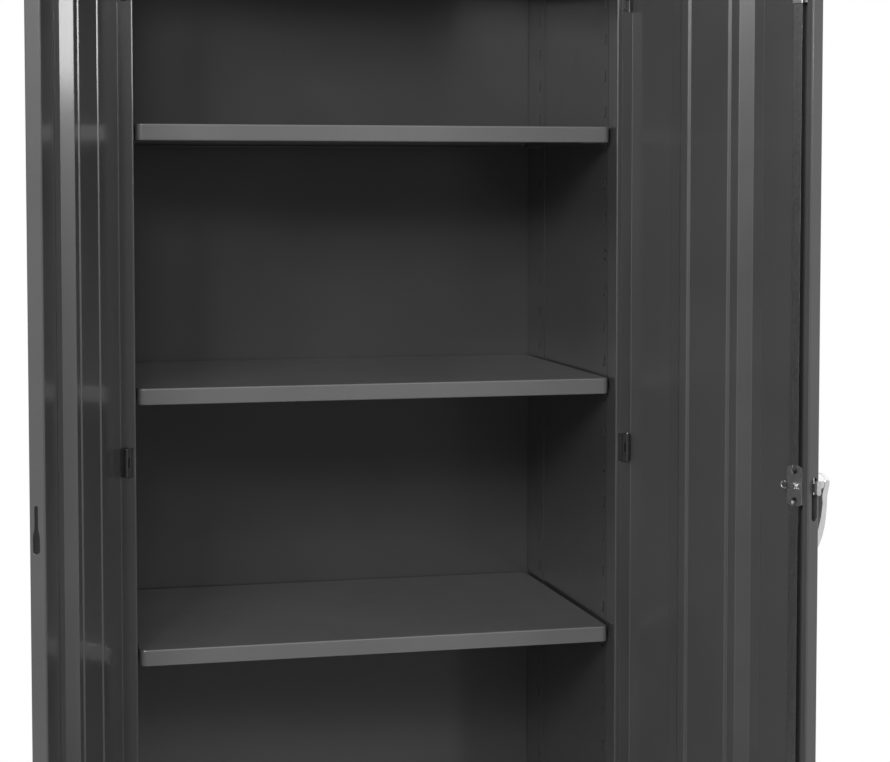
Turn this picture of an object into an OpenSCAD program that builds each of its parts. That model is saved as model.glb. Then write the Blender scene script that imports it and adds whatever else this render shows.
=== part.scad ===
// Tall steel storage cabinet with two hinged doors, three adjustable shelves
// and a three-point latch. Both doors are drawn open.
// Origin: floor level, centre of the body's footprint. The front faces -Y.

/* [Cabinet] */
// Overall width
cabinet_w = 914; // [840:1:1100]
// Overall height
cabinet_h = 1981; // [1800:1:2100]
// Depth of the body behind the doors
body_d = 583; // [500:1:640]
// Sheet thickness of the body
body_t = 1.2; // [1:0.1:1.6]
// Inside radius of every bend
bend_r = 1.2; // [0.8:0.1:1.6]

/* [Posts, uprights and back] */
// Width of the front post faces
post_w = 23; // [22:1:30]
// Depth of the inner return behind each post face
post_return = 48; // [40:1:60]
// Width of the slotted front uprights
front_upright_w = 77; // [60:1:90]
// Width of the slotted rear uprights
rear_upright_w = 120; // [100:1:130]
// Width of the rear flange of each side panel
rear_flange = 20; // [15:1:25]
// Overlap of the wall liners behind the uprights
liner_lap = 14; // [10:1:20]

/* [Base and top] */
// Height of the base front
base_h = 95; // [80:1:110]
// Height of the lip on the top panel
top_lip = 30; // [25:1:40]
// Height of the bottom shelf above the base front
bottom_shelf_rise = 23; // [18:1:30]
// Width of the floor flanges of the base
floor_flange = 61; // [55:1:80]
// Distance of the floor holes from the cabinet's sides
floor_hole_inset_x = 56; // [50:1:70]
// Distance of the floor holes from the body's front and back
floor_hole_inset_y = 51.5; // [40:0.5:90]
// Radius of the floor holes
floor_hole_r = 5.5; // [4:0.5:8]

/* [Shelves] */
// Clearance between a shelf's side and the upright
shelf_side_gap = 5; // [4:0.5:7]
// Distance of the shelf front behind the post faces
shelf_recess = 22; // [15:1:40]
// Gap between a shelf and the back panel
shelf_back_gap = 3.6; // [2:0.1:12]
// Height of a shelf's edge
shelf_h = 29; // [25:1:40]
// Width of the lip under a shelf's edge
shelf_lip = 10.5; // [8:0.5:11]
// Outside radius of a shelf's corners
shelf_corner_r = 12; // [11.5:0.5:16]
// Width of the band that runs round a shelf's top inside its bend
shelf_band = 4; // [3.5:0.5:6]
// Radius of the hole at the middle of a shelf's side
shelf_hole_r = 2.5; // [2:0.5:4]
// Distance of that hole from the shelf's side
shelf_hole_inset = 7; // [6:0.5:10]

/* [Shelf slots and clips] */
// Distance between slots
slot_pitch = 65.5; // [60:0.5:70]
// Height of the first slot above the bottom shelf
first_slot = 74; // [70:1:90]
// Least distance of the top slot below the top
slot_end_gap = 120; // [90:1:150]
// Slots that carry the shelves, counted from the bottom slot
shelf_slots = [7, 14, 21];
// Height of a slot
slot_h = 20; // [16:1:24]
// Width of a slot
slot_w = 14; // [12:1:18]
// Width of the cut that draws a slot
slot_cut = 3.4; // [3:0.1:4.5]
// Distance of the front slots behind the shelf front
front_slot_inset = 45; // [40:1:60]
// Distance of the rear slots from the back of the body
rear_slot_inset = 92; // [80:1:110]
// Thickness of a shelf clip
clip_t = 1.6; // [1.2:0.1:2]
// Width of a shelf clip's ledge
clip_w = 18; // [14:1:24]
// Reach of a shelf clip's ledge
clip_reach = 14; // [13:1:16]
// Height of the foot that a shelf clip rests on the upright
clip_foot = 8; // [6:1:12]

/* [Doors] */
// Thickness of a door
door_depth = 25.4; // [24:0.1:30]
// Sheet thickness of a door
door_t = 1; // [0.8:0.1:1.2]
// Gap between a closed door and the posts
door_gap = 1.6; // [1.2:0.1:2.5]
// Gap between the two closed doors
door_meet = 3; // [2:0.5:5]
// Gap above and below a closed door
door_end_gap = 3; // [2:0.5:5]
// Width of the lip on the free edge of a door
door_lip = 12.7; // [10:0.1:14]
// Angle by which the left door is drawn open
left_open_angle = 112.2; // [0:0.1:180]
// Angle by which the right door is drawn open
right_open_angle = 114.1; // [0:0.1:180]

/* [Door stiffeners] */
// Distance of the stiffener from the hinge edge
stiffener_start = 105; // [80:1:110]
// Distance of the stiffener from the free edge
stiffener_free_gap = 129.5; // [126:0.5:150]
// Width of the hinge-side foot
stiffener_hinge_foot = 21; // [15:1:25]
// Width of the free-side foot
stiffener_free_foot = 23; // [15:1:25]
// Height of the stiffener inside the door
stiffener_rise = 18; // [12:1:19]
// Width of a stiffening bead
bead_w = 10; // [9:0.5:12]
// Distance of a bead from the edge of the raised top
bead_inset = 16; // [10:1:24]
// Distance of the stiffener from the door's ends
stiffener_end_gap = 14; // [8:1:30]

/* [Hinges] */
// Distance of the hinge axis from the cabinet's outer side
hinge_inset = 5; // [5:0.1:6]
// Distance of the hinge axis behind the door's outer face
hinge_depth = 12.5; // [12:0.1:13]
// Length of a hinge
hinge_h = 50; // [40:1:70]
// Distance from the door's ends to the outer hinges' middles
hinge_end = 110; // [90:1:200]
// Radius of a hinge barrel
barrel_r = 3.5; // [3.3:0.1:3.7]
// Radius of a hinge pin
pin_r = 2; // [1.8:0.1:2]
// Thickness of a hinge leaf
leaf_t = 2; // [1.5:0.1:2]
// Distance of the frame leaf's web from the axis
leaf_web_x = 5.5; // [5.5:0.1:6]
// Reach of the leaf that lies on a post, from the axis
frame_leaf_reach = 13.5; // [12:0.5:15]
// Reach of the leaf that lies on a door's flange, from the axis
door_leaf_reach = 9.5; // [8:0.5:9.5]
// Gap between a hinge and its notch in the door's flange
notch_gap = 1.2; // [0.8:0.1:1.5]

/* [Latch] */
// Height of the handle's shaft above the floor
handle_height = 1001; // [900:1:1100]
// Distance of the shaft from the door's free edge
shaft_inset = 37.5; // [37.5:0.5:45]
// Radius of the shaft
shaft_r = 6; // [5:0.1:7]
// Width of the groove that holds the hitch pin
groove_w = 2.6; // [2.4:0.1:3]
// Radius of the shaft at the bottom of that groove
groove_r = 3.4; // [3:0.1:4]
// Thickness of the button behind the groove
button_t = 1.6; // [1.2:0.1:2]
// Radius of the hitch pin's wire
wire_r = 1.1; // [0.9:0.1:1.1]
// Distance of the hitch pin's ring from the shaft
ring_reach = 22; // [20:1:24]
// Radius of the cam's lobes
cam_r = 34.5; // [33:0.1:35]
// Half width of the cam
cam_half_w = 17; // [15:0.5:20]
// Thickness of the cam
cam_t = 2.5; // [2:0.1:3]
// Distance of the drive stud from the shaft
stud_reach = 31; // [28:0.1:31]
// Radius of the drive stud
stud_r = 2.5; // [2:0.1:3]
// Clearance round the stud in the centre bolt's slot
stud_clearance = 1.2; // [1.1:0.1:1.5]
// Width of a lock rod
rod_w = 19; // [16:0.5:20]
// Thickness of a lock rod and of the centre bolt's plate
rod_t = 3; // [2.5:0.1:3.5]
// Distance of the rods' middle from the door's free edge
rod_inset = 41.5; // [40.5:0.5:50]
// Height of the rods above the door's outer face
rod_y = 13; // [12.5:0.1:13]
// Length of a rod guide along the rod
guide_l = 20; // [15:1:30]
// Distance of the rod guides from the door's ends
guide_end = 130; // [100:1:300]
// Distance of the rods' inner ends from the shaft
rod_start = 25.5; // [24:0.5:30]
// Reach of the rods past the door's ends
rod_reach = 12; // [8:0.5:14]
// Height of the centre bolt's head
bolt_head_h = 24; // [18:1:24]
// Width of the centre bolt's head across the door
bolt_head_w = 10; // [8:0.5:10]
// Width of the centre bolt's neck across the door
bolt_neck_w = 5; // [4:0.1:5]
// Reach of the centre bolt past the door's edge
bolt_reach = 10.5; // [9:0.5:12]
// Thickness of the centre bolt's head
bolt_head_t = 5; // [3.5:0.5:5]
// Width of the slot in the door's free edge
edge_slot_w = 12.8; // [12:0.1:14]
// Height of the edge slot and of the keyhole
edge_slot_h = 73; // [70:1:80]
// Distance of the edge slot from the door's skin
edge_slot_gap = 3.5; // [3:0.1:4]
// Height of the edge slot above the shaft
edge_slot_rise = 17; // [15:0.5:20]

/* [Handle] */
// Radius of the handle's head
head_r = 16; // [14:0.5:18]
// Thickness of the plate under the handle
plate_t = 3; // [2:0.5:4]
// Width of the plate's rim round the handle's head
plate_rim = 5; // [3:0.5:6]
// Distance of the handle's front from the door
handle_out = 50; // [44:1:56]
// Length of the handle from the shaft to its tip
lever_l = 113; // [90:1:130]
// Half width of the lever at its tip
tip_half_w = 8.5; // [7:0.5:11]
// Thickness of the lever's front wall
lever_wall = 3; // [2:0.5:4]
// Bow of the lever's front towards the door, at its tip
lever_bow = 22; // [18:0.5:25]
// Bow of the lever's back edge, at its tip
skirt_bow = 30; // [26:0.5:32]
// Depth of the lever's sides at the head
skirt = 7; // [5:0.5:9]
// Size of the bevel round the top of the handle's head
head_bevel = 4.5; // [3:0.5:5]
// Size of the bevel at the lever's tip
tip_edge = 4; // [3:0.5:5]

/* [Hidden] */
STEPS = 2;
SMALL = 16;
ROUND = 24;
LARGE = 32;
EPS = 1;
FIT = 0.05;
SEAT = 0.3;

body_colour = [0.20, 0.21, 0.22];
inside_colour = [0.25, 0.26, 0.27];
shelf_colour = [0.33, 0.34, 0.35];
zinc_colour = [0.72, 0.73, 0.72];
chrome_colour = [0.85, 0.86, 0.88];

side_x = cabinet_w / 2;
inner_x = side_x - post_w;
floor_hole_x = side_x - floor_hole_inset_x;
floor_hole_y = body_d / 2 - floor_hole_inset_y;
front_y = -body_d / 2;
back_y = body_d / 2;
door_face_y = front_y - door_gap - door_depth;
panel_top = cabinet_h - body_t;
return_end_y = front_y + post_return;
back_panel_y = back_y - body_t;
upright_back_y = back_panel_y - body_t - SEAT;
lap_x = inner_x + body_t;
bottom_shelf_z = base_h + bottom_shelf_rise;
rail_x = inner_x - 2 * SEAT - body_t;
rail_front_y = front_y + body_t + SEAT;
rail_back_y = upright_back_y - body_t - SEAT;

door_w = side_x - door_meet / 2;
shaft_x = door_w - shaft_inset;
rod_x = door_w - rod_inset;
door_z = base_h + door_end_gap;
door_h = cabinet_h - top_lip - door_end_gap - door_z;
hinge_x = side_x - hinge_inset;
hinge_y = door_face_y + hinge_depth;
hinge_heights = [hinge_end, door_h / 2, door_h - hinge_end];
knuckle_pitch = hinge_h / 3;
knuckle_gap = 0.1;
knuckle_h = knuckle_pitch - 2 * knuckle_gap;
door_round = door_t + bend_r;

shelf_w = 2 * (inner_x - shelf_side_gap);
shelf_front_y = front_y + shelf_recess;
shelf_d = back_panel_y - body_t - shelf_back_gap - shelf_front_y;
slot_room = panel_top - slot_end_gap - bottom_shelf_z - first_slot;
slot_count = floor(slot_room / slot_pitch) + 1;
front_slot_y = shelf_front_y + front_slot_inset;
rear_slot_y = back_y - rear_slot_inset;
neck_z = slot_h / 2 - slot_cut + (slot_cut - clip_t) / 2;
ledge_z = neck_z + clip_t;

handle_z = handle_height - door_z;
edge_slot_top = handle_z + edge_slot_rise;
cam_y = rod_y + rod_t + SEAT;
shaft_end_y = cam_y + cam_t;
slot_middle_y = door_t + edge_slot_gap + edge_slot_w / 2;
stud_rise = stud_reach * sin(45);
bolt_travel = 2 * stud_rise;

side_names = ["left", "right"];
level_names = ["lower", "middle", "upper"];
corner_names = ["front_left", "front_right", "rear_left", "rear_right"];

// Bent sheet: the path runs along one face, and the sheet lies on its left.
function unit(v) = v / norm(v);
function left_of(v) = [-v.y, v.x];
function headings(path) = [for (i = [0:len(path) - 2]) unit(path[i + 1] - path[i])];
function mitre(corner, n1, n2, w) = corner + w * (n1 + n2) / (1 + n1 * n2);
function bend(corner, d1, d2, w, t) =
  let (
    n1 = left_of(d1),
    n2 = left_of(d2),
    to_left = cross(d1, d2) > 0,
    centre = mitre(corner, n1, n2, to_left ? t + bend_r : -bend_r),
    radius = to_left ? w - t - bend_r : bend_r + w,
    start = atan2(n1.y, n1.x),
    turn = acos(n1 * n2) * (to_left ? 1 : -1)
  )
  [for (k = [0:STEPS]) centre + radius * [cos(start + turn * k / STEPS), sin(start + turn * k / STEPS)]];
function face(path, w, t) =
  let (d = headings(path), last = len(path) - 1)
  concat(
    [path[0] + w * left_of(d[0])],
    [for (i = [1:last - 1]) each bend(path[i], d[i - 1], d[i], w, t)],
    [path[last] + w * left_of(d[last - 1])]
  );
function reversed(points) = [for (i = [len(points) - 1:-1:0]) points[i]];
function fold(path, t) = concat(face(path, 0, t), reversed(face(path, t, t)));

module folded_z(path, t, z1, z2) {
  translate([0, 0, z1]) linear_extrude(z2 - z1) polygon(fold(path, t));
}

// The path's points are (y, z).
module folded_x(path, t, x1, x2) {
  translate([x1, 0, 0]) rotate([90, 0, 90]) linear_extrude(x2 - x1) polygon(fold(path, t));
}

// The path's points are (x, z).
module folded_y(path, t, y1, y2) {
  translate([0, y2, 0]) rotate([90, 0, 0]) linear_extrude(y2 - y1) polygon(fold(path, t));
}

module box(low, high) {
  translate(low) cube(high - low);
}

// Draws the left-hand piece, or its mirror image for the right-hand side.
module on_side(side) {
  if (side == "left") children();
  else mirror([1, 0, 0]) children();
}

module side_panel() {
  path = [
    [rear_flange - side_x, back_y], [-side_x, back_y], [-side_x, front_y],
    [-inner_x, front_y], [-inner_x, return_end_y]
  ];
  color(body_colour) folded_z(path, body_t, 0, panel_top);
}

module slot_outline() {
  w = slot_w / 2;
  h = slot_h / 2;
  c = slot_cut / 2;
  polygon([
    [-w, h - slot_cut], [-c, h - slot_cut], [-c, -h], [w, -h],
    [w, slot_cut - h], [c, slot_cut - h], [c, h], [-w, h]
  ]);
}

function slot_z(n) = bottom_shelf_z + first_slot + n * slot_pitch;

module slots(y) {
  for (n = [0:slot_count - 1])
    translate([-lap_x - EPS, y, slot_z(n)])
      rotate([90, 0, 90]) linear_extrude(body_t + 2 * EPS) slot_outline();
}

module front_upright() {
  y1 = return_end_y + SEAT;
  path = [[SEAT + body_t - side_x, y1], [-inner_x, y1], [-inner_x, return_end_y + front_upright_w]];
  color(inside_colour) difference() {
    folded_z(path, body_t, 0, panel_top - SEAT);
    slots(front_slot_y);
  }
}

module rear_upright() {
  path = [
    [-inner_x, upright_back_y - rear_upright_w], [-inner_x, upright_back_y],
    [SEAT + body_t - side_x, upright_back_y]
  ];
  color(inside_colour) difference() {
    folded_z(path, body_t, 0, panel_top - SEAT);
    slots(rear_slot_y);
  }
}

module wall_liner() {
  y1 = return_end_y + front_upright_w - liner_lap;
  y2 = upright_back_y - rear_upright_w + liner_lap;
  color(inside_colour) box([-lap_x - body_t, y1, SEAT], [-lap_x, y2, panel_top - SEAT]);
}

module back_panel() {
  x = side_x - body_t - bend_r - SEAT;
  color(inside_colour) box([-x, back_panel_y - body_t, SEAT], [x, back_panel_y, panel_top - SEAT]);
}

// Rectangular hole for a lock rod, centred where the rod stands when the door is closed.
module rod_hole(z) {
  gap = [3, 2.5];
  x = side_x - rod_x - rod_w / 2;
  y = door_face_y + rod_y;
  box([x - gap.x, y - gap.y, z], [x + rod_w + gap.x, y + rod_t + gap.y, z + body_t + 2 * EPS]);
}

// Closes the ends of the lip or base that stands in front of the posts.
module end_plates(z1, z2) {
  for (x = [-side_x, side_x - body_t])
    box([x, door_face_y + body_t, z1], [x + body_t, front_y - SEAT, z2]);
}

module top_panel() {
  path = [
    [back_y, cabinet_h], [door_face_y, cabinet_h],
    [door_face_y, cabinet_h - top_lip], [front_y - SEAT, cabinet_h - top_lip]
  ];
  color(body_colour) difference() {
    union() {
      folded_x(path, body_t, -side_x, side_x);
      end_plates(cabinet_h - top_lip, panel_top);
    }
    rod_hole(cabinet_h - top_lip - EPS);
  }
}

module base_front() {
  path = [
    [front_y - SEAT, base_h], [door_face_y, base_h], [door_face_y, 0], [front_y - 2 * SEAT, 0]
  ];
  color(body_colour) difference() {
    union() {
      folded_x(path, body_t, -side_x, side_x);
      end_plates(0, base_h);
    }
    rod_hole(base_h - body_t - EPS);
  }
}

module base_rear() {
  top = bottom_shelf_z - 2 * body_t - SEAT;
  path = [
    [rail_back_y, body_t + SEAT], [rail_back_y, top], [rail_back_y - rear_flange, top]
  ];
  color(body_colour) folded_x(path, body_t, -rail_x + body_t + SEAT, rail_x - body_t - SEAT);
}

module base_rail() {
  top = bottom_shelf_z - body_t;
  path = [
    [rear_flange - rail_x, top], [-rail_x, top], [-rail_x, 0], [floor_flange - rail_x, 0]
  ];
  color(body_colour) difference() {
    folded_y(path, body_t, rail_front_y, rail_back_y);
    for (y = [-floor_hole_y, floor_hole_y])
      translate([-floor_hole_x, y, -EPS])
        cylinder(h = body_t + 2 * EPS, r = floor_hole_r, $fn = ROUND);
  }
}

module bottom_shelf() {
  x = inner_x - SEAT;
  front_drop = bottom_shelf_rise + rear_flange;
  path = [
    [upright_back_y, bottom_shelf_z - rear_flange], [upright_back_y, bottom_shelf_z],
    [front_y, bottom_shelf_z], [front_y, bottom_shelf_z - front_drop]
  ];
  color(shelf_colour) union() {
    folded_x(path, body_t, -x, x);
    for (side = side_names)
      on_side(side)
        box(
          [-x, rail_front_y, bottom_shelf_z - rear_flange],
          [body_t - x, upright_back_y - 2 * body_t, bottom_shelf_z - body_t / 2]
        );
  }
}

// Cross-section of a shelf's edge, from the middle of its corner radius outward.
module shelf_edge_profile() {
  polygon(fold([
    [shelf_corner_r - shelf_lip, -shelf_h], [shelf_corner_r, -shelf_h],
    [shelf_corner_r, 0], [shelf_corner_r - shelf_band, 0]
  ], body_t));
}

module shelf() {
  half = [shelf_w / 2 - shelf_corner_r, shelf_d / 2 - shelf_corner_r];
  flat_r = shelf_corner_r - shelf_band;
  color(shelf_colour) difference() {
    union() {
      for (i = [0:3]) {
        out = half[i % 2];
        along = half[(i + 1) % 2];
        rotate([0, 0, 90 * i]) {
          translate([out, along, 0]) rotate([90, 0, 0]) linear_extrude(2 * along) shelf_edge_profile();
          translate([out, along, 0]) rotate_extrude(angle = 90, $fn = SMALL) shelf_edge_profile();
          translate([out, along, -body_t]) cylinder(h = body_t, r = flat_r, $fn = SMALL);
        }
      }
      box([-half.x - flat_r, -half.y, -body_t], [half.x + flat_r, half.y, 0]);
      box([-half.x, -half.y - flat_r, -body_t], [half.x, half.y + flat_r, 0]);
    }
    for (x = [-1, 1])
      translate([x * (shelf_w / 2 - shelf_hole_inset), 0, -body_t - EPS])
        cylinder(h = body_t + 2 * EPS, r = shelf_hole_r, $fn = SMALL);
  }
}

function shelf_z(level) = slot_z(shelf_slots[level]) + ledge_z + shelf_h;

module placed_shelf(level) {
  translate([0, shelf_front_y + shelf_d / 2, shelf_z(level)]) shelf();
}

// A shelf clip on the left upright: a hook behind the sheet, a ledge and a foot.
module shelf_clip(level, y) {
  z = slot_z(shelf_slots[level]) + neck_z;
  hook_x = -lap_x - SEAT - clip_t;
  face_x = SEAT - inner_x;
  tip_x = clip_reach - inner_x;
  hook_h = 9;
  hook_w = slot_w / 2 + slot_cut / 2 - 2 * SEAT;
  hook_y = y - slot_w / 2 + SEAT;
  ledge = [[tip_x, z + clip_t], [face_x, z + clip_t], [face_x, z - clip_foot]];
  color(body_colour) union() {
    folded_y([[hook_x, z + hook_h], [hook_x, z], [tip_x, z]], clip_t, hook_y, hook_y + hook_w);
    folded_y(ledge, clip_t, y - clip_w / 2, y + clip_w / 2);
  }
}

module clip_at(level, corner) {
  y = corner < 2 ? front_slot_y : rear_slot_y;
  on_side(side_names[corner % 2]) shelf_clip(level, y);
}

// Places a piece drawn in the closed left door's frame: x from the hinge edge,
// y inward from the outer face and z up from the bottom edge.
module open_door(side) {
  angle = side == "left" ? left_open_angle : right_open_angle;
  on_side(side)
    translate([-hinge_x, hinge_y, 0])
      rotate([0, 0, -angle])
        translate([hinge_x, -hinge_y, 0])
          translate([-side_x, door_face_y, door_z]) children();
}

// The door's outer block seen from one side, with rounded front edges.
module rounded_front(length, depth) {
  quarter = [for (k = [0:STEPS]) 90 * k / STEPS];
  r = door_round;
  polygon(concat(
    [[length, depth + EPS], [0, depth + EPS]],
    [for (a = quarter) [r - r * cos(a), r - r * sin(a)]],
    [for (a = quarter) [length - r + r * sin(a), r - r * cos(a)]]
  ));
}

module door_pan() {
  across = [
    [0, door_depth], [0, 0], [door_w, 0], [door_w, door_depth], [door_w - door_lip, door_depth]
  ];
  upright = [[door_depth, door_h], [0, door_h], [0, 0], [door_depth, 0]];
  intersection() {
    folded_z(across, door_t, 0, door_h);
    translate([-EPS, 0, 0]) rotate([90, 0, 90]) linear_extrude(door_w + 2 * EPS)
      mirror([1, -1, 0]) rounded_front(door_h, door_depth);
  }
  intersection() {
    folded_x(upright, door_t, 0, door_w);
    translate([0, 0, -EPS]) linear_extrude(door_h + 2 * EPS) rounded_front(door_w, door_depth);
  }
}

// Notches that let the hinge barrels stand in the door's edge.
module hinge_notches() {
  for (z = hinge_heights)
    box(
      [-EPS, hinge_depth - barrel_r - notch_gap, z - hinge_h / 2 - notch_gap],
      [door_t + EPS, door_depth + EPS, z + hinge_h / 2 + notch_gap]
    );
}

// Cuts an outline, drawn as (depth, height), through the door's free edge.
module through_free_edge() {
  translate([door_w - door_t - EPS, slot_middle_y, edge_slot_top])
    rotate([90, 0, 90]) linear_extrude(door_t + 2 * EPS) children();
}

module edge_slot_outline() {
  r = edge_slot_w / 2;
  translate([0, -r]) circle(r = r, $fn = ROUND);
  translate([0, r - edge_slot_h]) circle(r = r, $fn = ROUND);
  translate([-r, r - edge_slot_h]) square([2 * r, edge_slot_h - 2 * r]);
}

// Narrow above, where the bolt's neck rests, and wide below, where its head enters.
module keyhole_outline() {
  narrow = bolt_neck_w / 2 + SEAT;
  wide = bolt_head_w / 2 + SEAT;
  taper_top = -2 * edge_slot_rise;
  head_gap = 2;
  wide_top = bolt_head_h + head_gap - edge_slot_h;
  translate([0, -narrow]) circle(r = narrow, $fn = ROUND);
  translate([0, wide - edge_slot_h]) circle(r = wide, $fn = ROUND);
  polygon([
    [-narrow, -narrow], [-narrow, taper_top], [-wide, wide_top], [-wide, wide - edge_slot_h],
    [wide, wide - edge_slot_h], [wide, wide_top], [narrow, taper_top], [narrow, -narrow]
  ]);
}

module left_door_panel() {
  color(body_colour) open_door("left") difference() {
    door_pan();
    hinge_notches();
    through_free_edge() keyhole_outline();
  }
}

module right_door_panel() {
  rod_cut = [rod_w + 2 * SEAT, rod_t + 2 * SEAT, door_t + 2 * EPS];
  shaft_gap = 1;
  color(body_colour) open_door("right") difference() {
    door_pan();
    hinge_notches();
    through_free_edge() edge_slot_outline();
    for (z = [-EPS, door_h - door_t - EPS])
      translate([rod_x - rod_cut.x / 2, rod_y - SEAT, z]) cube(rod_cut);
    translate([shaft_x, -EPS, handle_z]) rotate([-90, 0, 0])
      cylinder(h = door_t + 2 * EPS, r = shaft_r + shaft_gap, $fn = ROUND);
  }
}

module door_stiffener() {
  x1 = stiffener_start;
  x6 = door_w - stiffener_free_gap;
  rise = stiffener_rise;
  slope_extra = 2;
  top = door_t + rise;
  x2 = x1 + stiffener_hinge_foot;
  x3 = x2 + rise + slope_extra;
  x5 = x6 - stiffener_free_foot;
  x4 = x5 - rise;
  bead_d = bead_w / 2;
  path = concat(
    [[x1, door_t], [x2, door_t], [x3, top]],
    [for (x = [x3 + bead_inset, x4 - bead_inset - bead_w])
      each [[x, top], [x + bead_w / 2, top - bead_d], [x + bead_w, top]]],
    [[x4, top], [x5, door_t], [x6, door_t]]
  );
  color(inside_colour) folded_z(path, door_t, stiffener_end_gap, door_h - stiffener_end_gap);
}

// Hinges are drawn round their axis, with x towards the cabinet's middle. The
// frame's leaf has the outer knuckles and the pin, the door's leaf the middle one.
module knuckle(n, r) {
  translate([0, 0, n * knuckle_pitch - hinge_h / 2 + knuckle_gap])
    cylinder(h = knuckle_h, r = r, $fn = SMALL);
}

module frame_leaf() {
  post_y = front_y - hinge_y;
  strap_y = barrel_r - leaf_t;
  path = [[frame_leaf_reach, post_y], [leaf_web_x, post_y], [leaf_web_x, strap_y]];
  color(body_colour) union() {
    folded_z(path, leaf_t, -hinge_h / 2, hinge_h / 2);
    for (n = [0, 2]) {
      knuckle(n, barrel_r);
      translate([0, strap_y, n * knuckle_pitch - hinge_h / 2 + knuckle_gap])
        cube([leaf_web_x + leaf_t / 2, leaf_t, knuckle_h]);
    }
    cylinder(h = 2 * knuckle_pitch, r = pin_r, center = true, $fn = SMALL);
  }
}

module door_leaf() {
  x1 = door_t - hinge_inset;
  x2 = x1 + leaf_t;
  y1 = -door_leaf_reach;
  y2 = -barrel_r - notch_gap;
  color(body_colour) union() {
    box([x1, y1, -hinge_h / 2], [x2, y2, hinge_h / 2]);
    difference() {
      union() {
        box([x1, y1, -knuckle_h / 2], [x2, 0, knuckle_h / 2]);
        knuckle(1, barrel_r);
      }
      cylinder(h = knuckle_pitch, r = pin_r + FIT, center = true, $fn = SMALL);
    }
  }
}

module placed_frame_leaf(side, level) {
  on_side(side) translate([-hinge_x, hinge_y, door_z + hinge_heights[level]]) frame_leaf();
}

module placed_door_leaf(side, level) {
  open_door(side) translate([hinge_inset, hinge_depth, hinge_heights[level]]) door_leaf();
}

// Turns a cylinder's axis to run inward through the door at the shaft.
module at_shaft(y) {
  translate([shaft_x, y, handle_z]) rotate([-90, 0, 0]) children();
}

module handle_plate() {
  color(chrome_colour) open_door("right") difference() {
    at_shaft(-plate_t) cylinder(h = plate_t, r = head_r + plate_rim, $fn = LARGE);
    at_shaft(-plate_t - EPS) cylinder(h = plate_t + 2 * EPS, r = shaft_r + FIT, $fn = ROUND);
  }
}

module handle_bushing() {
  nut_t = 6;
  nut_r = shaft_r + 5;
  color(zinc_colour) open_door("right") difference() {
    at_shaft(door_t) cylinder(h = nut_t, r = nut_r, $fn = 6);
    at_shaft(door_t - EPS) cylinder(h = nut_t + 2 * EPS, r = shaft_r + FIT, $fn = ROUND);
  }
}

// Side view of the lever as (depth, height from the shaft), outermost at y = 0.
// Its front bows with the fourth power of the way to the tip and its back with
// the third, so that the skirt grows deeper towards the tip.
function lever_front(inset) = concat(
  [[2 * head_bevel, head_r - inset], [head_bevel, head_r - inset], [inset, head_r - 2 * head_bevel]],
  [for (way = [0.05:0.15:0.95]) [inset + lever_bow * pow(way, 4), -way * lever_l]]
);
function lever_back(depth) = concat(
  [[lever_bow + tip_edge, -lever_l], [lever_bow + 2 * tip_edge, tip_edge - lever_l]],
  [for (way = [0.9:-0.2:0.3]) [depth + lever_wall + skirt_bow * pow(way, 3), -way * lever_l]],
  [[depth + 2 * lever_wall, -head_r]]
);

// Front view of the lever: a round head that tapers to a round tip.
module lever_outline(inset) {
  w = head_r - inset;
  tip = tip_half_w - inset;
  shoulder = [0.7 * w, -1.4 * w];
  circle(r = w, $fn = LARGE);
  translate([0, tip_half_w - lever_l]) circle(r = tip, $fn = ROUND);
  polygon([
    [-w, 0], [-shoulder.x, shoulder.y], [-tip, tip_half_w - lever_l],
    [tip, tip_half_w - lever_l], shoulder, [w, 0]
  ]);
}

module lever_form(inset, depth) {
  intersection() {
    translate([-head_r, 0, 0]) rotate([90, 0, 90]) linear_extrude(2 * head_r)
      polygon(concat(lever_front(inset), lever_back(depth)));
    translate([0, handle_out, 0]) rotate([90, 0, 0]) linear_extrude(2 * handle_out) lever_outline(inset);
  }
}

// The lever is a shell, open at its back, on a solid head. Behind the cam its
// shaft has a groove for the hitch pin and a button that keeps the pin on.
module door_handle() {
  hollow = 20;
  head_start = 2 - handle_out;
  head_end = -plate_t - SEAT;
  color(chrome_colour) open_door("right") union() {
    translate([shaft_x, -handle_out, handle_z]) difference() {
      lever_form(0, skirt);
      difference() {
        lever_form(lever_wall, hollow);
        box([-head_r, -EPS, -head_r], [head_r, handle_out, head_r]);
      }
    }
    at_shaft(head_start)
      cylinder(h = head_end - head_start, r1 = head_r, r2 = head_r - lever_wall, $fn = LARGE);
    at_shaft(head_end - EPS) cylinder(h = shaft_end_y - head_end + EPS, r = shaft_r, $fn = ROUND);
    at_shaft(shaft_end_y - EPS) cylinder(h = groove_w + EPS, r = groove_r, $fn = ROUND);
    at_shaft(shaft_end_y + groove_w) cylinder(h = button_t, r = shaft_r - 2 * SEAT, $fn = ROUND);
  }
}

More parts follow.
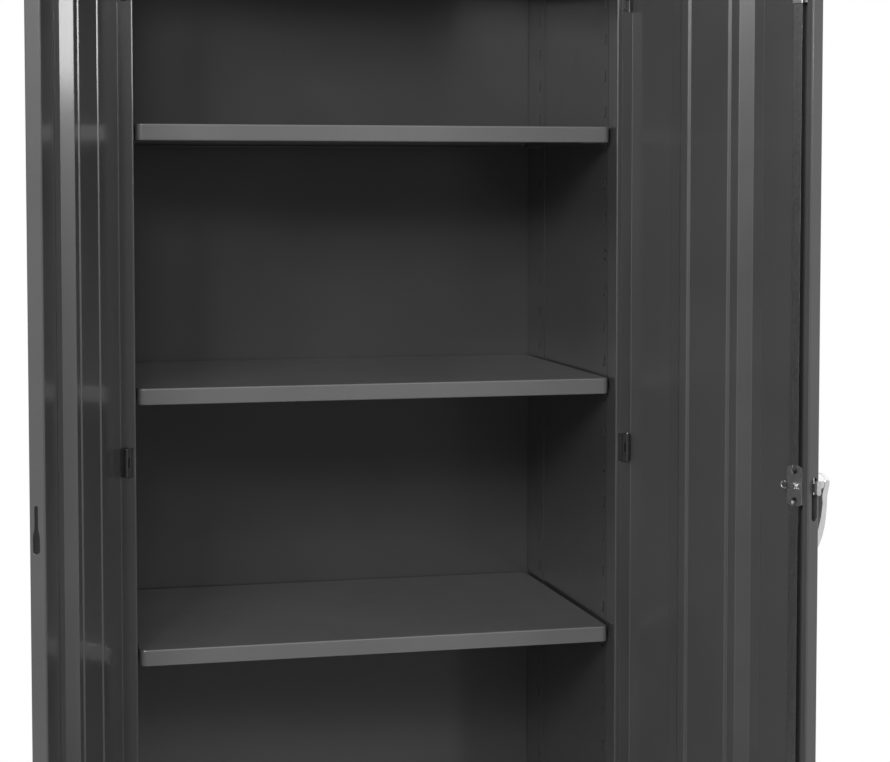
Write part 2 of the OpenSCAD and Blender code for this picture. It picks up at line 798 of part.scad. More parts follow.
// The cam's plate: two pairs of ears, a hollow waist on the hinge side and an
// arm for the stud. Each pair of ears holds a rod's end between them.
module cam_plate() {
  ear_notch = [9, 10];
  ear_y = cam_r - ear_notch.y / 2 + EPS;
  eye_r = 6.5;
  waist_r = 16;
  waist_depth = 3;
  arm_half_w = stud_r + 1.5;
  difference() {
    union() {
      intersection() {
        circle(r = cam_r, $fn = LARGE);
        square([2 * cam_half_w, 2 * cam_r], center = true);
      }
      rotate([0, 0, 45]) translate([0, -arm_half_w]) square([stud_reach, 2 * arm_half_w]);
      rotate([0, 0, 45]) translate([stud_reach, 0]) circle(r = arm_half_w, $fn = SMALL);
    }
    for (up = [-1, 1]) {
      translate([0, up * (ear_y - ear_notch.y / 2)]) circle(r = eye_r, $fn = ROUND);
      translate([0, up * ear_y]) square(ear_notch, center = true);
    }
    translate([waist_depth - cam_half_w - waist_r, 0]) circle(r = waist_r, $fn = LARGE);
    circle(r = shaft_r + FIT, $fn = ROUND);
  }
}

module lock_cam() {
  stud_y = slot_middle_y - rod_t / 2 - SEAT;
  color(zinc_colour) open_door("right") union() {
    at_shaft(cam_y) mirror([0, 1, 0]) linear_extrude(cam_t) cam_plate();
    translate([stud_rise, 0, stud_rise]) at_shaft(stud_y)
      cylinder(h = cam_y + cam_t / 2 - stud_y, r = stud_r, $fn = SMALL);
  }
}

// A ring with two legs that grip the groove behind the shaft's end.
module hitch_pin() {
  ring_r = 6;
  leg_end = shaft_r * 2;
  leg_z = groove_r + wire_r + FIT;
  gape = asin(leg_z / ring_r);
  root = [ring_r * cos(gape), 0, leg_z];
  leg_lap = wire_r;
  leg_l = ring_reach + leg_end - root.x + leg_lap;
  color(zinc_colour) open_door("right")
    translate([shaft_x - ring_reach, shaft_end_y + groove_w / 2, handle_z]) union() {
      rotate([90, 0, 0]) rotate([0, 0, gape]) rotate_extrude(angle = 360 - 2 * gape, $fn = ROUND)
        translate([ring_r, 0]) circle(r = wire_r, $fn = SMALL);
      for (up = [-1, 1])
        translate([root.x - leg_lap, 0, up * root.z])
          rotate([0, 90, 0]) cylinder(h = leg_l, r = wire_r, $fn = SMALL);
    }
}

// A flat rod with a tapered tip, drawn from its inner end upward.
module lock_rod(length) {
  w = rod_w / 2;
  tip = 6;
  nip = 2;
  translate([rod_x, rod_y + rod_t, 0]) rotate([90, 0, 0]) linear_extrude(rod_t)
    polygon([
      [-w, nip], [nip - w, 0], [w - nip, 0], [w, nip], [w, length - tip], [w - tip, length],
      [tip - w, length], [-w, length - tip]
    ]);
}

module upper_lock_rod() {
  start = handle_z + rod_start;
  color(zinc_colour) open_door("right") translate([0, 0, start])
    lock_rod(door_h + rod_reach - start);
}

module lower_lock_rod() {
  start = handle_z - rod_start;
  color(zinc_colour) open_door("right") translate([0, 0, start]) mirror([0, 0, 1])
    lock_rod(start + rod_reach);
}

// A welded strap with a slot that holds a lock rod at its height.
module rod_guide(z) {
  t = 1.5;
  half = rod_w / 2 + bend_r;
  foot = 10;
  over = rod_y + rod_t + SEAT;
  under = rod_y - SEAT - t;
  path = [
    [rod_x - half - foot, door_t], [rod_x - half, door_t], [rod_x - half, over],
    [rod_x + half, over], [rod_x + half, door_t], [rod_x + half + foot, door_t]
  ];
  color(zinc_colour) open_door("right") union() {
    folded_z(path, t, z, z + guide_l);
    box([rod_x - half - t / 2, under, z], [rod_x + half + t / 2, under + t, z + guide_l]);
  }
}

// The plate slides behind the door's free edge. The cam's stud runs in its cross slot.
module centre_bolt() {
  slot_half = stud_r + stud_clearance;
  slot_x1 = shaft_x + stud_rise - slot_half;
  slot_x2 = shaft_x + stud_reach + slot_half;
  edge = 3;
  plate_x1 = slot_x1 - edge;
  plate_x2 = door_w - door_t - SEAT;
  neck_half_h = 7;
  root = 4;
  mid = slot_middle_y;
  head_x = door_w + bolt_reach - bolt_head_t;
  color(zinc_colour) open_door("right") translate([0, 0, handle_z]) difference() {
    union() {
      box(
        [plate_x1, mid - rod_t / 2, -bolt_head_h / 2],
        [plate_x2, mid + rod_t / 2, stud_rise + slot_half + edge]
      );
      box(
        [plate_x2 - root, mid - bolt_neck_w / 2, -neck_half_h],
        [head_x + EPS, mid + bolt_neck_w / 2, neck_half_h]
      );
      translate([head_x, mid, 0]) rotate([90, 0, 90]) linear_extrude(bolt_head_t)
        intersection() {
          square([bolt_head_w, bolt_head_h], center = true);
          rotate([0, 0, 45]) square((bolt_head_w + bolt_head_h - bolt_neck_w) / sqrt(2), center = true);
        }
    }
    box(
      [slot_x1, mid - rod_t, stud_rise - slot_half],
      [slot_x2, mid + rod_t, stud_rise + slot_half]
    );
  }
}

on_side("left") side_panel();  // left_side_panel
on_side("right") side_panel();  // right_side_panel
back_panel();
top_panel();
bottom_shelf();
base_front();
base_rear();
on_side("left") base_rail();  // left_base_rail
on_side("right") base_rail();  // right_base_rail
for (side = side_names) {
  on_side(side) front_upright();
  on_side(side) rear_upright();
  on_side(side) wall_liner();
}
for (level = [0:2]) {
  placed_shelf(level);
  for (corner = [0:3])
    clip_at(level, corner);
}
for (side = side_names)
  for (level = [0:2]) {
    placed_frame_leaf(side, level);
    placed_door_leaf(side, level);
  }
left_door_panel();
open_door("left") door_stiffener();  // left_door_stiffener
right_door_panel();
open_door("right") door_stiffener();  // right_door_stiffener
handle_plate();
handle_bushing();
rod_guide(door_h - guide_end - guide_l);  // upper_rod_guide
rod_guide(guide_end);  // lower_rod_guide
door_handle();
lock_cam();
hitch_pin();
upper_lock_rod();
lower_lock_rod();
centre_bolt();
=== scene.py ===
"""Storage cabinet: powder coat, plated latch parts, spot welds, a polished lever, stage and camera."""
import math

import bmesh
import bpy
from bpy.props import FloatProperty, FloatVectorProperty, IntProperty, PointerProperty
from mathutils import Matrix, Vector


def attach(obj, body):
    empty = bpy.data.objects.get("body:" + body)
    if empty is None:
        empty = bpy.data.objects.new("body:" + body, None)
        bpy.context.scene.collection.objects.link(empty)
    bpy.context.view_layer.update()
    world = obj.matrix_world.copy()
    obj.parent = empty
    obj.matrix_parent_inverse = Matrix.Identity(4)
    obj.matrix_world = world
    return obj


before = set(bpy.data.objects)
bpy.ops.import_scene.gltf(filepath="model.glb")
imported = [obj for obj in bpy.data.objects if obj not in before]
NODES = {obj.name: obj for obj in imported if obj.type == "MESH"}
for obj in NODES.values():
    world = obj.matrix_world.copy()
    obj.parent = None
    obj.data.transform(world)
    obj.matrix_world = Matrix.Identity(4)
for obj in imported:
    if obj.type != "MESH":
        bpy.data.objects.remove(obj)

bl_info = {
    "name": "Storage cabinet",
    "version": (1, 0, 0),
    "blender": (4, 5, 0),
    "location": "3D View > Sidebar > Cabinet",
    "description": "Dresses a steel storage cabinet with paint, plating, welds and a lever handle",
    "category": "Object",
}

PAINTED_DOORS = [n for n in NODES if "door_panel" in n]
PAINTED_STIFFENERS = [n for n in NODES if "stiffener" in n]
PAINTED_SHELVES = [n for n in NODES if n.endswith("_shelf")]
PAINTED_INSIDE = [n for n in NODES if "upright" in n or "liner" in n or n == "back_panel"]
PAINTED_BODY = [n for n in NODES if "side_panel" in n or "base" in n or n == "top_panel"]
PAINTED_CLIPS = [n for n in NODES if "clip" in n]
PAINTED_HINGES = [n for n in NODES if "hinge" in n]
ZINC_PARTS = ["lock_cam", "centre_bolt", "handle_bushing", "upper_rod_guide", "lower_rod_guide"]
ZINC_RODS = ["upper_lock_rod", "lower_lock_rod"]
CHROME_PARTS = ["door_handle", "handle_plate", "hitch_pin"]

# Noise patterns, each with its scale and detail
CLOUDS = (5.0, 4.0)
GRAIN = (700.0, 1.0)
HAZE = (14.0, 5.0)
RIPPLES = (220.0, 1.0)
MOTTLE = (160.0, 3.0)
DRAWN_MARKS = (900.0, 2.0)
SMEARS = (60.0, 4.0)
WAVES = (45.0, 1.0)

# The middle part of a noise factor, which the patterns use
NOISE_LOW = 0.3
NOISE_HIGH = 0.7

# Tones as shares of a colour, darkest and lightest
CLOUD_TONES = (0.93, 1.07)
GRAIN_TONES = (0.94, 1.0)
ZINC_TONES = (0.86, 1.08)
CHROME_TONES = (0.95, 1.03)

# Roughness: how far it varies, or its range
PAINT_HAZE = 0.02
ZINC_HAZE = 0.07
CHROME_ROUGHNESS = (0.05, 0.13)

# Depth of the surface's ripples and radius of its soft edges, in metres
ZINC_RIPPLE = 0.000006
ZINC_EDGE = 0.0006
CHROME_WAVE = 0.0001
CHROME_EDGE = 0.0012

# Rays that find a soft edge
EDGE_SAMPLES = 6

# A weld's corners, and its rim's width and sunken middle as shares of its radius and depth
WELD_CORNERS = 16
WELD_RIM = 0.3
WELD_SINK = 0.7

# Floor: its look, its corners, and in metres its radius and where it fades to white
FLOOR_TONE = 0.80
FLOOR_ROUGHNESS = 0.9
FLOOR_CORNERS = 96
FLOOR_RADIUS = 9.0
FADE_START = 0.9
FADE_END = 1.5

# Directions, as parts of a unit vector, over which the reflected room gets brighter
AHEAD_SPAN = (-0.97, -0.75)
ABOVE_SPAN = (0.12, 0.35)

# Lamps: name, place, size, and the stage setting that holds the power
LAMP_AIM = Vector((0.0, -0.2, 1.1))
LAMPS = (
    ("key_lamp", (-2.1, -4.0, 3.0), 1.0, "key_power"),
    ("streak_lamp", (-1.1, -4.5, 2.7), 0.6, "streak_power"),
    ("fill_lamp", (3.0, -3.4, 2.3), 0.9, "fill_power"),
)


class CabinetPaint(bpy.types.PropertyGroup):
    """Powder coat of the steelwork."""
    body_colour: FloatVectorProperty(
        name="Body colour", description="Colour of the body, the base and the shelf clips",
        default=(0.065, 0.065, 0.065), subtype="COLOR", min=0.0, max=1.0)
    # Darker than the body colour as painted shade: it stands in for the shade inside the cabinet
    inside_colour_with_painted_shade: FloatVectorProperty(
        name="Inside colour", description="Colour of the uprights, wall liners and back panel",
        default=(0.049, 0.049, 0.049), subtype="COLOR", min=0.0, max=1.0)
    # Near black as painted shade: it stands in for the shade in the notches round the hinges
    hinge_colour_with_painted_shade: FloatVectorProperty(
        name="Hinge colour", description="Colour of the dark hinges",
        default=(0.020, 0.020, 0.020), subtype="COLOR", min=0.0, max=1.0)
    door_colour: FloatVectorProperty(
        name="Door colour", description="Colour of the doors and their stiffeners",
        default=(0.063, 0.063, 0.063), subtype="COLOR", min=0.0, max=1.0)
    # Nearly twice the body colour as painted light: it stands in for the light on the shelf fronts, and
    # lightens the shelf tops too
    shelf_colour_with_painted_light: FloatVectorProperty(
        name="Shelf colour", description="Colour of the shelves",
        default=(0.123, 0.123, 0.123), subtype="COLOR", min=0.0, max=1.0)
    roughness: FloatProperty(
        name="Roughness", description="Mean roughness of the powder coat",
        default=0.32, min=0.05, max=1.0)
    clear_layer: FloatProperty(
        name="Clear layer", description="Weight of the smooth clear layer over the colour",
        default=0.8, min=0.0, max=1.0)
    clear_roughness: FloatProperty(
        name="Clear layer roughness", description="Roughness of the clear layer",
        default=0.12, min=0.0, max=1.0)
    orange_peel: FloatProperty(
        name="Orange peel", description="Depth of the coat's fine ripples",
        default=0.000008, min=0.0, max=0.001, unit="LENGTH", precision=6)
    edge_radius: FloatProperty(
        name="Edge radius", description="How far the coat rounds the sheet's edges and bends",
        default=0.0012, min=0.0, max=0.005, unit="LENGTH", precision=4)


class CabinetPlating(bpy.types.PropertyGroup):
    """Plated parts of the latch."""
    chrome_colour: FloatVectorProperty(
        name="Chrome colour", description="Colour of the lever, its plate and the hitch pin",
        default=(0.93, 0.93, 0.93), subtype="COLOR", min=0.0, max=1.0)
    zinc_colour: FloatVectorProperty(
        name="Zinc colour", description="Colour of the cam, bolt, bushing and guides",
        default=(0.73, 0.73, 0.73), subtype="COLOR", min=0.0, max=1.0)
    rod_colour: FloatVectorProperty(
        name="Rod colour", description="Colour of the dull dark zinc on the lock rods",
        default=(0.265, 0.265, 0.265), subtype="COLOR", min=0.0, max=1.0)
    zinc_roughness: FloatProperty(
        name="Zinc roughness", description="Mean roughness of the cam, bolt, bushing and guides",
        default=0.32, min=0.1, max=1.0)
    rod_roughness: FloatProperty(
        name="Rod roughness", description="Mean roughness of the lock rods",
        default=0.42, min=0.1, max=1.0)


class CabinetDoor(bpy.types.PropertyGroup):
    """Where the doors stand, as drawn in the frame."""
    side_x: FloatProperty(
        name="Half width", description="Distance from the middle to the hinge edge of a closed door",
        default=0.457, unit="LENGTH")
    face_y: FloatProperty(
        name="Door face", description="Place of a closed door's outer face",
        default=-0.3185, unit="LENGTH")
    bottom_z: FloatProperty(
        name="Door bottom", description="Height of a door's bottom edge",
        default=0.098, unit="LENGTH")
    height: FloatProperty(
        name="Door height", description="Length of a door from its bottom to its top edge",
        default=1.850, unit="LENGTH")
    hinge_inset: FloatProperty(
        name="Hinge inset", description="Distance of the hinge axis from the hinge edge",
        default=0.005, unit="LENGTH")
    hinge_depth: FloatProperty(
        name="Hinge depth", description="Distance of the hinge axis behind the outer face",
        default=0.0125, unit="LENGTH")
    left_open: FloatProperty(
        name="Left door open", description="Angle by which the left door stands open",
        default=math.radians(112.2), subtype="ANGLE")
    right_open: FloatProperty(
        name="Right door open", description="Angle by which the right door stands open",
        default=math.radians(114.1), subtype="ANGLE")


class CabinetWelds(bpy.types.PropertyGroup):
    """Spot welds that hold the stiffeners to the doors."""
    radius: FloatProperty(
        name="Weld radius", description="Radius of a spot weld's mark",
        default=0.0034, unit="LENGTH", min=0.001, max=0.01)
    depth: FloatProperty(
        name="Weld depth", description="Height of the rim round a spot weld",
        default=0.00035, unit="LENGTH", min=0.0001, max=0.002)
    near_row: FloatProperty(
        name="Near row", description="Distance of the first row of welds from the hinge edge",
        default=0.1155, unit="LENGTH")
    far_row: FloatProperty(
        name="Far row", description="Distance of the second row of welds from the hinge edge",
        default=0.3145, unit="LENGTH")
    foot_face: FloatProperty(
        name="Foot face", description="Distance of the stiffener's foot from the door's outer face",
        default=0.002, unit="LENGTH")
    count: IntProperty(
        name="Welds in a row", description="Number of spot welds along a stiffener's foot",
        default=13, min=2, max=40)
    end_gap: FloatProperty(
        name="End gap", description="Distance of the outer welds from the door's ends",
        default=0.055, unit="LENGTH", min=0.02, max=0.3)


class CabinetStage(bpy.types.PropertyGroup):
    """Camera, lamps and room light."""
    camera_place: FloatVectorProperty(
        name="Camera place", description="Where the camera stands",
        default=(-0.7644, -3.8839, 1.5002), subtype="TRANSLATION", unit="LENGTH")
    camera_turn: FloatProperty(
        name="Camera turn", description="Angle by which the camera looks to the right of straight on",
        default=math.radians(13.742), subtype="ANGLE")
    camera_tilt: FloatProperty(
        name="Camera tilt", description="Angle by which the camera looks down",
        default=math.radians(3.197), subtype="ANGLE")
    lens: FloatProperty(
        name="Lens", description="Focal length of the camera in millimetres",
        default=84.18, min=20.0, max=300.0)
    shift_y: FloatProperty(
        name="Vertical shift", description="Vertical shift of the camera's frame",
        default=-0.0899, min=-0.5, max=0.5)
    key_power: FloatProperty(
        name="Key power", description="Power of the large lamp at the front left, in watts",
        default=115.0, min=0.0, max=5000.0)
    streak_power: FloatProperty(
        name="Streak power", description="Power of the small lamp at the front left, in watts",
        default=25.0, min=0.0, max=5000.0)
    fill_power: FloatProperty(
        name="Fill power", description="Power of the lamp at the front right, in watts",
        default=38.0, min=0.0, max=5000.0)
    room_light: FloatProperty(
        name="Room light", description="Strength of the soft light from all round",
        default=0.42, min=0.0, max=5.0)
    front_mirror: FloatProperty(
        name="Front mirror light", description="How bright the room in front looks in gloss and metal",
        default=0.12, min=0.0, max=1.0)
    side_mirror: FloatProperty(
        name="Side mirror light", description="How bright the sides and back look in gloss and metal",
        default=0.6, min=0.0, max=1.0)


def new_material(name):
    """An empty node material; returns it with its nodes, links and Principled shader."""
    material = bpy.data.materials.new(name)
    material.use_nodes = True
    tree = material.node_tree
    return material, tree.nodes, tree.links, tree.nodes["Principled BSDF"]


def noise(nodes, links, pattern, stretch=(1.0, 1.0, 1.0), offset=(0.0, 0.0, 0.0)):
    """A noise pattern on the object's own coordinates; returns its factor socket."""
    scale, detail = pattern
    place = nodes.new("ShaderNodeTexCoord")
    mapping = nodes.new("ShaderNodeMapping")
    mapping.inputs["Scale"].default_value = stretch
    mapping.inputs["Location"].default_value = offset
    texture = nodes.new("ShaderNodeTexNoise")
    texture.inputs["Scale"].default_value = scale
    texture.inputs["Detail"].default_value = detail
    links.new(place.outputs["Object"], mapping.inputs["Vector"])
    links.new(mapping.outputs["Vector"], texture.inputs["Vector"])
    return texture.outputs["Fac"]


def spread(nodes, links, factor, low, high):
    """Maps the middle of a noise factor onto the range low to high."""
    remap = nodes.new("ShaderNodeMapRange")
    remap.inputs["From Min"].default_value = NOISE_LOW
    remap.inputs["From Max"].default_value = NOISE_HIGH
    remap.inputs["To Min"].default_value = low
    remap.inputs["To Max"].default_value = high
    links.new(factor, remap.inputs["Value"])
    return remap.outputs["Result"]


def vary_tone(nodes, links, factor, colour, tones):
    """The colour between its darkest and lightest tone, by a noise factor; returns the socket."""
    ramp = nodes.new("ShaderNodeValToRGB")
    for stop, place, tone in zip(ramp.color_ramp.elements, (NOISE_LOW, NOISE_HIGH), tones):
        stop.position = place
        stop.color = (*(min(1.0, channel * tone) for channel in colour), 1.0)
    links.new(factor, ramp.inputs["Fac"])
    return ramp.outputs["Color"]


def multiply_colours(nodes, links, first, second):
    """Multiplies two colours; returns the colour socket."""
    mix = nodes.new("ShaderNodeMix")
    mix.data_type = "RGBA"
    mix.blend_type = "MULTIPLY"
    mix.inputs["Factor"].default_value = 1.0
    first_input, second_input = [socket for socket in mix.inputs if socket.type == "RGBA"]
    links.new(first, first_input)
    links.new(second, second_input)
    return next(socket for socket in mix.outputs if socket.type == "RGBA")


def bump(nodes, links, height, distance, edge_radius, shader):
    """Ripples the shader's surface by a height pattern and softens its edges."""
    edge = nodes.new("ShaderNodeBevel")
    edge.samples = EDGE_SAMPLES
    edge.inputs["Radius"].default_value = edge_radius
    ripple = nodes.new("ShaderNodeBump")
    ripple.inputs["Distance"].default_value = distance
    links.new(edge.outputs["Normal"], ripple.inputs["Normal"])
    links.new(height, ripple.inputs["Height"])
    for name in ("Normal", "Coat Normal"):
        links.new(ripple.outputs["Normal"], shader.inputs[name])


def powder_coat(name, colour, paint, offset):
    """Glossy powder coat: cloudy tone, fine grain, handling haze and orange peel."""
    material, nodes, links, shader = new_material(name)
    shader.inputs["Coat Weight"].default_value = paint.clear_layer
    shader.inputs["Coat Roughness"].default_value = paint.clear_roughness
    clouds = noise(nodes, links, CLOUDS, offset=offset)
    tone = vary_tone(nodes, links, clouds, colour, CLOUD_TONES)
    grain = noise(nodes, links, GRAIN, offset=offset)
    speck = vary_tone(nodes, links, grain, (1.0, 1.0, 1.0), GRAIN_TONES)
    links.new(multiply_colours(nodes, links, tone, speck), shader.inputs["Base Color"])
    haze = noise(nodes, links, HAZE, offset=offset)
    rough = spread(nodes, links, haze, paint.roughness - PAINT_HAZE, paint.roughness + PAINT_HAZE)
    links.new(rough, shader.inputs["Roughness"])
    ripples = noise(nodes, links, RIPPLES, offset=offset)
    bump(nodes, links, ripples, paint.orange_peel, paint.edge_radius, shader)
    return material


def zinc_plate(name, colour, roughness, stretch):
    """Zinc plate: mottled tone, with fine marks drawn out by the stretch."""
    material, nodes, links, shader = new_material(name)
    shader.inputs["Metallic"].default_value = 1.0
    mottle = noise(nodes, links, MOTTLE)
    links.new(vary_tone(nodes, links, mottle, colour, ZINC_TONES), shader.inputs["Base Color"])
    marks = noise(nodes, links, DRAWN_MARKS, stretch=stretch)
    rough = spread(nodes, links, marks, roughness - ZINC_HAZE, roughness + ZINC_HAZE)
    links.new(rough, shader.inputs["Roughness"])
    bump(nodes, links, marks, ZINC_RIPPLE, ZINC_EDGE, shader)
    return material


def polished_chrome(name, colour):
    """Chrome plate over a die casting: bright, slightly wavy, with faint smears."""
    material, nodes, links, shader = new_material(name)
    shader.inputs["Metallic"].default_value = 1.0
    smears = noise(nodes, links, SMEARS)
    links.new(vary_tone(nodes, links, smears, colour, CHROME_TONES), shader.inputs["Base Color"])
    links.new(spread(nodes, links, smears, *CHROME_ROUGHNESS), shader.inputs["Roughness"])
    bump(nodes, links, noise(nodes, links, WAVES), CHROME_WAVE, CHROME_EDGE, shader)
    return material


def finish_nodes(names, material):
    """Gives CAD nodes a finish in their own material slots."""
    for name in names:
        for slot in NODES[name].material_slots:
            slot.material = material


def door_matrix(side):
    """From a closed door's frame (from the hinge edge, inward, up) to where the open door stands."""
    door = bpy.context.scene.cabinet_door
    hand = -1.0 if side == "left" else 1.0
    angle = door.left_open if side == "left" else door.right_open
    hinge = Vector((
        hand * (door.side_x - door.hinge_inset), door.face_y + door.hinge_depth, 0.0))
    closed = Matrix.Translation((hand * door.side_x, door.face_y, door.bottom_z))
    closed = closed @ Matrix.Diagonal((-hand, 1.0, 1.0, 1.0))
    swing = Matrix.Rotation(hand * angle, 4, "Z")
    return Matrix.Translation(hinge) @ swing @ Matrix.Translation(-hinge) @ closed


def keep_mesh(name, mesh, material):
    """Turns a bmesh into an object in the scene."""
    data = bpy.data.meshes.new(name)
    mesh.to_mesh(data)
    mesh.free()
    data.materials.append(material)
    piece = bpy.data.objects.new(name, data)
    bpy.context.scene.collection.objects.link(piece)
    return piece


class CABINET_OT_paint_steel(bpy.types.Operator):
    """Powder coats the body, hinges, inside, doors and shelves"""
    bl_idname = "cabinet.paint_steel"
    bl_label = "Paint the steelwork"

    def execute(self, context):
        paint = context.scene.cabinet_paint
        # Name, colour, nodes, and an offset that gives each coat its own part of the pattern
        coats = (
            ("body_coat", paint.body_colour, PAINTED_BODY + PAINTED_CLIPS, (0.0, 0.0, 0.0)),
            # The hinge coat is near black: painted shade in the hinge notches
            ("hinge_coat", paint.hinge_colour_with_painted_shade, PAINTED_HINGES, (6.2, 5.1, 3.3)),
            # The inside coat is darker than the body coat: painted shade inside the cabinet
            ("inside_coat", paint.inside_colour_with_painted_shade, PAINTED_INSIDE, (3.1, 1.7, 0.4)),
            ("door_coat", paint.door_colour, PAINTED_DOORS, (7.3, 2.9, 5.2)),
            ("stiffener_coat", paint.door_colour, PAINTED_STIFFENERS, (1.9, 8.4, 6.6)),
            # The shelf coat is nearly twice as light as the body coat: painted light on the shelf fronts
            # and tops
            ("shelf_coat", paint.shelf_colour_with_painted_light, PAINTED_SHELVES, (4.8, 0.6, 9.1)),
        )
        for name, colour, names, offset in coats:
            finish_nodes(names, powder_coat(name, colour, paint, offset))
        return {"FINISHED"}


class CABINET_OT_plate_latch(bpy.types.Operator):
    """Plates the latch, the rods and the handle"""
    bl_idname = "cabinet.plate_latch"
    bl_label = "Plate the latch parts"

    def execute(self, context):
        plating = context.scene.cabinet_plating
        # Name, colour, roughness, nodes, and the stretch that draws the marks out along the part
        plates = (
            ("bright_zinc", plating.zinc_colour, plating.zinc_roughness, ZINC_PARTS, (1.0, 1.0, 1.0)),
            ("dull_zinc", plating.rod_colour, plating.rod_roughness, ZINC_RODS, (1.0, 1.0, 0.04)),
        )
        for name, colour, roughness, names, stretch in plates:
            finish_nodes(names, zinc_plate(name, colour, roughness, stretch))
        finish_nodes(CHROME_PARTS, polished_chrome("chrome_plate", plating.chrome_colour))
        return {"FINISHED"}


class CABINET_OT_add_spot_welds(bpy.types.Operator):
    """Adds the spot welds along both feet of each door's stiffener"""
    bl_idname = "cabinet.add_spot_welds"
    bl_label = "Add the spot welds"

    def execute(self, context):
        welds = context.scene.cabinet_welds
        coat = bpy.data.materials["stiffener_coat"]
        step = (context.scene.cabinet_door.height - 2 * welds.end_gap) / (welds.count - 1)
        for side in ("left", "right"):
            mesh = bmesh.new()
            for row in (welds.near_row, welds.far_row):
                for number in range(welds.count):
                    place = Vector((row, welds.foot_face, welds.end_gap + number * step))
                    self.add_weld(mesh, place, welds.radius, welds.depth)
            bmesh.ops.transform(mesh, matrix=door_matrix(side), verts=mesh.verts)
            bmesh.ops.recalc_face_normals(mesh, faces=mesh.faces)
            piece = keep_mesh(f"{side}_door_spot_welds", mesh, coat)
            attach(piece, f"{side}_door")
        return {"FINISHED"}

    def add_weld(self, mesh, place, radius, depth):
        """A round rim with a sunken middle."""
        turned = Matrix.Translation(place) @ Matrix.Rotation(math.radians(-90.0), 4, "X")
        disc = bmesh.ops.create_circle(
            mesh, cap_ends=True, segments=WELD_CORNERS, radius=radius, matrix=turned)
        face = disc["verts"][0].link_faces[0]
        for lift in (depth, -depth * WELD_SINK):
            bmesh.ops.inset_region(mesh, faces=[face], thickness=radius * WELD_RIM, depth=0.0)
            bmesh.ops.translate(mesh, verts=face.verts, vec=(0.0, lift, 0.0))


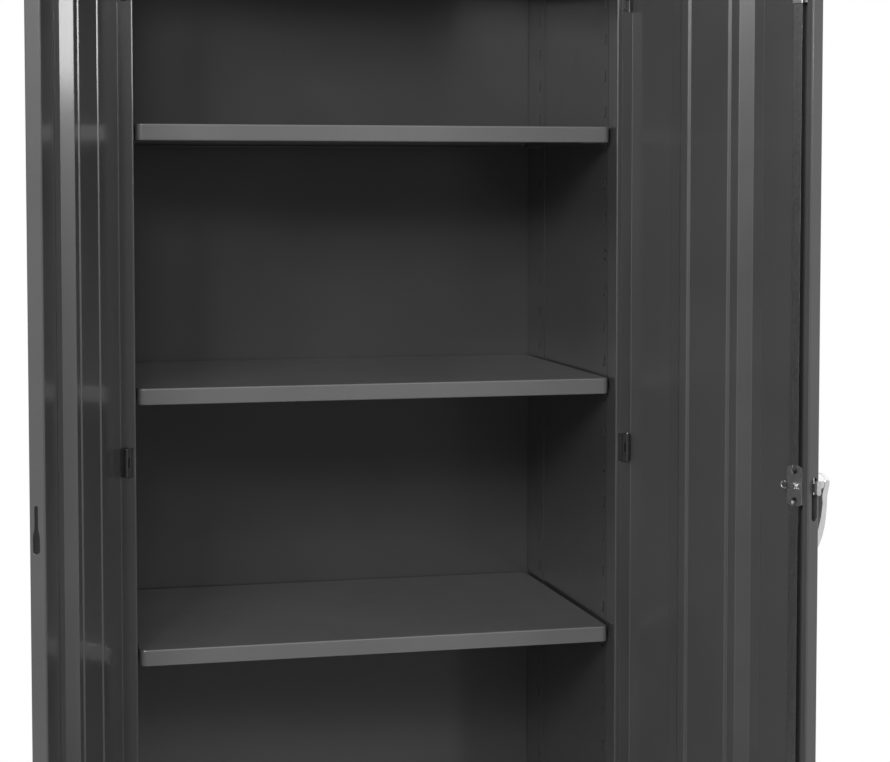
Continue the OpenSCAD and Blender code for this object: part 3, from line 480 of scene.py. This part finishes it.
class CABINET_OT_set_stage(bpy.types.Operator):
    """Sets the floor, the room light, the lamps and the camera"""
    bl_idname = "cabinet.set_stage"
    bl_label = "Set the stage"

    def execute(self, context):
        stage = context.scene.cabinet_stage
        self.lay_floor(stage)
        self.light_room(context.scene, stage)
        for name, place, size, power in LAMPS:
            self.hang_lamp(name, Vector(place), size, getattr(stage, power))
        self.place_camera(context.scene, stage)
        context.scene.view_settings.view_transform = "Standard"
        return {"FINISHED"}

    def lay_floor(self, stage):
        """A round floor under the cabinet."""
        mesh = bmesh.new()
        bmesh.ops.create_circle(mesh, cap_ends=True, segments=FLOOR_CORNERS, radius=FLOOR_RADIUS)
        floor = keep_mesh("floor", mesh, self.floor_finish(stage))

    def floor_finish(self, stage):
        """Pale grey that keeps the cabinet's shadow and fades to white away from it."""
        material, nodes, links, shader = new_material("pale_floor")
        shader.inputs["Base Color"].default_value = (FLOOR_TONE, FLOOR_TONE, FLOOR_TONE, 1.0)
        shader.inputs["Roughness"].default_value = FLOOR_ROUGHNESS
        place = nodes.new("ShaderNodeTexCoord")
        length = nodes.new("ShaderNodeVectorMath")
        length.operation = "LENGTH"
        links.new(place.outputs["Object"], length.inputs[0])
        fade = nodes.new("ShaderNodeMapRange")
        fade.inputs["From Min"].default_value = FADE_START
        fade.inputs["From Max"].default_value = FADE_END
        links.new(length.outputs["Value"], fade.inputs["Value"])
        share = self.combine(
            nodes, links, "MULTIPLY", fade.outputs["Result"], self.seen_directly(nodes, links))
        direction = nodes.new("ShaderNodeVectorMath")
        direction.operation = "NORMALIZE"
        links.new(place.outputs["Object"], direction.inputs[0])
        glow = self.mirror_glow(nodes, links, direction.outputs["Vector"], stage)
        path = nodes.new("ShaderNodeLightPath")
        glow = self.combine(nodes, links, "MAXIMUM", glow, path.outputs["Is Camera Ray"])
        white = nodes.new("ShaderNodeEmission")
        links.new(glow, white.inputs["Strength"])
        mixed = self.mix_shaders(
            nodes, links, share, shader.outputs["BSDF"], white.outputs["Emission"])
        links.new(mixed, nodes["Material Output"].inputs["Surface"])
        return material

    def light_room(self, scene, stage):
        """A soft room that is white where the camera sees it, and dim ahead where gloss sees it."""
        scene.world = bpy.data.worlds.new("studio")
        scene.world.use_nodes = True
        nodes = scene.world.node_tree.nodes
        links = scene.world.node_tree.links
        room = nodes["Background"]
        room.inputs["Strength"].default_value = stage.room_light
        mirror = nodes.new("ShaderNodeBackground")
        place = nodes.new("ShaderNodeTexCoord")
        glow = self.mirror_glow(nodes, links, place.outputs["Generated"], stage)
        links.new(glow, mirror.inputs["Strength"])
        white = nodes.new("ShaderNodeBackground")
        for background in (room, mirror, white):
            background.inputs["Color"].default_value = (1.0, 1.0, 1.0, 1.0)
        path = nodes.new("ShaderNodeLightPath")
        reflected = self.mix_shaders(
            nodes, links, self.seen_directly(nodes, links),
            room.outputs["Background"], mirror.outputs["Background"])
        mixed = self.mix_shaders(
            nodes, links, path.outputs["Is Camera Ray"], reflected, white.outputs["Background"])
        links.new(mixed, nodes["World Output"].inputs["Surface"])

    def seen_directly(self, nodes, links):
        """One for rays from the camera, gloss or glass, and nought for the light that falls on things."""
        path = nodes.new("ShaderNodeLightPath")
        total = path.outputs["Is Camera Ray"]
        for name in ("Is Glossy Ray", "Is Transmission Ray"):
            total = self.combine(nodes, links, "MAXIMUM", total, path.outputs[name])
        return total

    def mirror_glow(self, nodes, links, direction, stage):
        """How bright gloss and metal see the room: dim straight ahead, bright above."""
        split = nodes.new("ShaderNodeSeparateXYZ")
        links.new(direction, split.inputs["Vector"])
        around = self.ramp(
            nodes, links, split.outputs["Y"], AHEAD_SPAN, (stage.front_mirror, stage.side_mirror))
        above = self.ramp(nodes, links, split.outputs["Z"], ABOVE_SPAN, (0.0, 1.0))
        return self.combine(nodes, links, "MAXIMUM", around, above)

    def ramp(self, nodes, links, value, span, levels):
        """A smooth step between two levels as a value crosses a span."""
        step = nodes.new("ShaderNodeMapRange")
        step.interpolation_type = "SMOOTHSTEP"
        for name, number in zip(("From Min", "From Max", "To Min", "To Max"), (*span, *levels)):
            step.inputs[name].default_value = number
        links.new(value, step.inputs["Value"])
        return step.outputs["Result"]

    def combine(self, nodes, links, operation, first, second):
        """One maths operation on two values; returns the value socket."""
        maths = nodes.new("ShaderNodeMath")
        maths.operation = operation
        links.new(first, maths.inputs[0])
        links.new(second, maths.inputs[1])
        return maths.outputs["Value"]

    def mix_shaders(self, nodes, links, factor, first, second):
        """Mixes two shaders by a factor; returns the shader socket."""
        mixed = nodes.new("ShaderNodeMixShader")
        links.new(factor, mixed.inputs["Fac"])
        links.new(first, mixed.inputs[1])
        links.new(second, mixed.inputs[2])
        return mixed.outputs["Shader"]

    def hang_lamp(self, name, place, size, power):
        """A square soft lamp that faces the middle of the cabinet's front."""
        data = bpy.data.lights.new(name, "AREA")
        data.size = size
        data.energy = power
        lamp = bpy.data.objects.new(name, data)
        lamp.location = place
        lamp.rotation_euler = (LAMP_AIM - place).to_track_quat("-Z", "Y").to_euler()
        bpy.context.scene.collection.objects.link(lamp)

    def place_camera(self, scene, stage):
        """The camera at the photograph's viewing angle."""
        data = bpy.data.cameras.new("camera")
        data.lens = stage.lens
        data.shift_y = stage.shift_y
        camera = bpy.data.objects.new("camera", data)
        camera.location = stage.camera_place
        camera.rotation_euler = (math.radians(90.0) - stage.camera_tilt, 0.0, -stage.camera_turn)
        scene.collection.objects.link(camera)
        scene.camera = camera


class CABINET_PT_sidebar(bpy.types.Panel):
    """Lists the cabinet's settings and steps"""
    bl_idname = "CABINET_PT_sidebar"
    bl_label = "Storage cabinet"
    bl_space_type = "VIEW_3D"
    bl_region_type = "UI"
    bl_category = "Cabinet"

    def draw(self, context):
        for group in GROUPS:
            settings = getattr(context.scene, group)
            box = self.layout.box()
            for name in settings.__annotations__:
                box.prop(settings, name)
        for step in STEPS:
            self.layout.operator(step.bl_idname)


GROUPS = {
    "cabinet_paint": CabinetPaint,
    "cabinet_plating": CabinetPlating,
    "cabinet_door": CabinetDoor,
    "cabinet_welds": CabinetWelds,
    "cabinet_stage": CabinetStage,
}
STEPS = (
    CABINET_OT_set_stage,
    CABINET_OT_paint_steel,
    CABINET_OT_plate_latch,
    CABINET_OT_add_spot_welds,
)
CLASSES = (*GROUPS.values(), *STEPS, CABINET_PT_sidebar)


def register():
    for item in CLASSES:
        bpy.utils.register_class(item)
    for name, group in GROUPS.items():
        setattr(bpy.types.Scene, name, PointerProperty(type=group))


def unregister():
    for name in GROUPS:
        delattr(bpy.types.Scene, name)
    for item in reversed(CLASSES):
        bpy.utils.unregister_class(item)


def main():
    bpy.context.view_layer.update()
    register()
    bpy.ops.cabinet.set_stage()
    bpy.ops.cabinet.paint_steel()
    bpy.ops.cabinet.plate_latch()
    bpy.ops.cabinet.add_spot_welds()


if __name__ == "__main__":
    main()
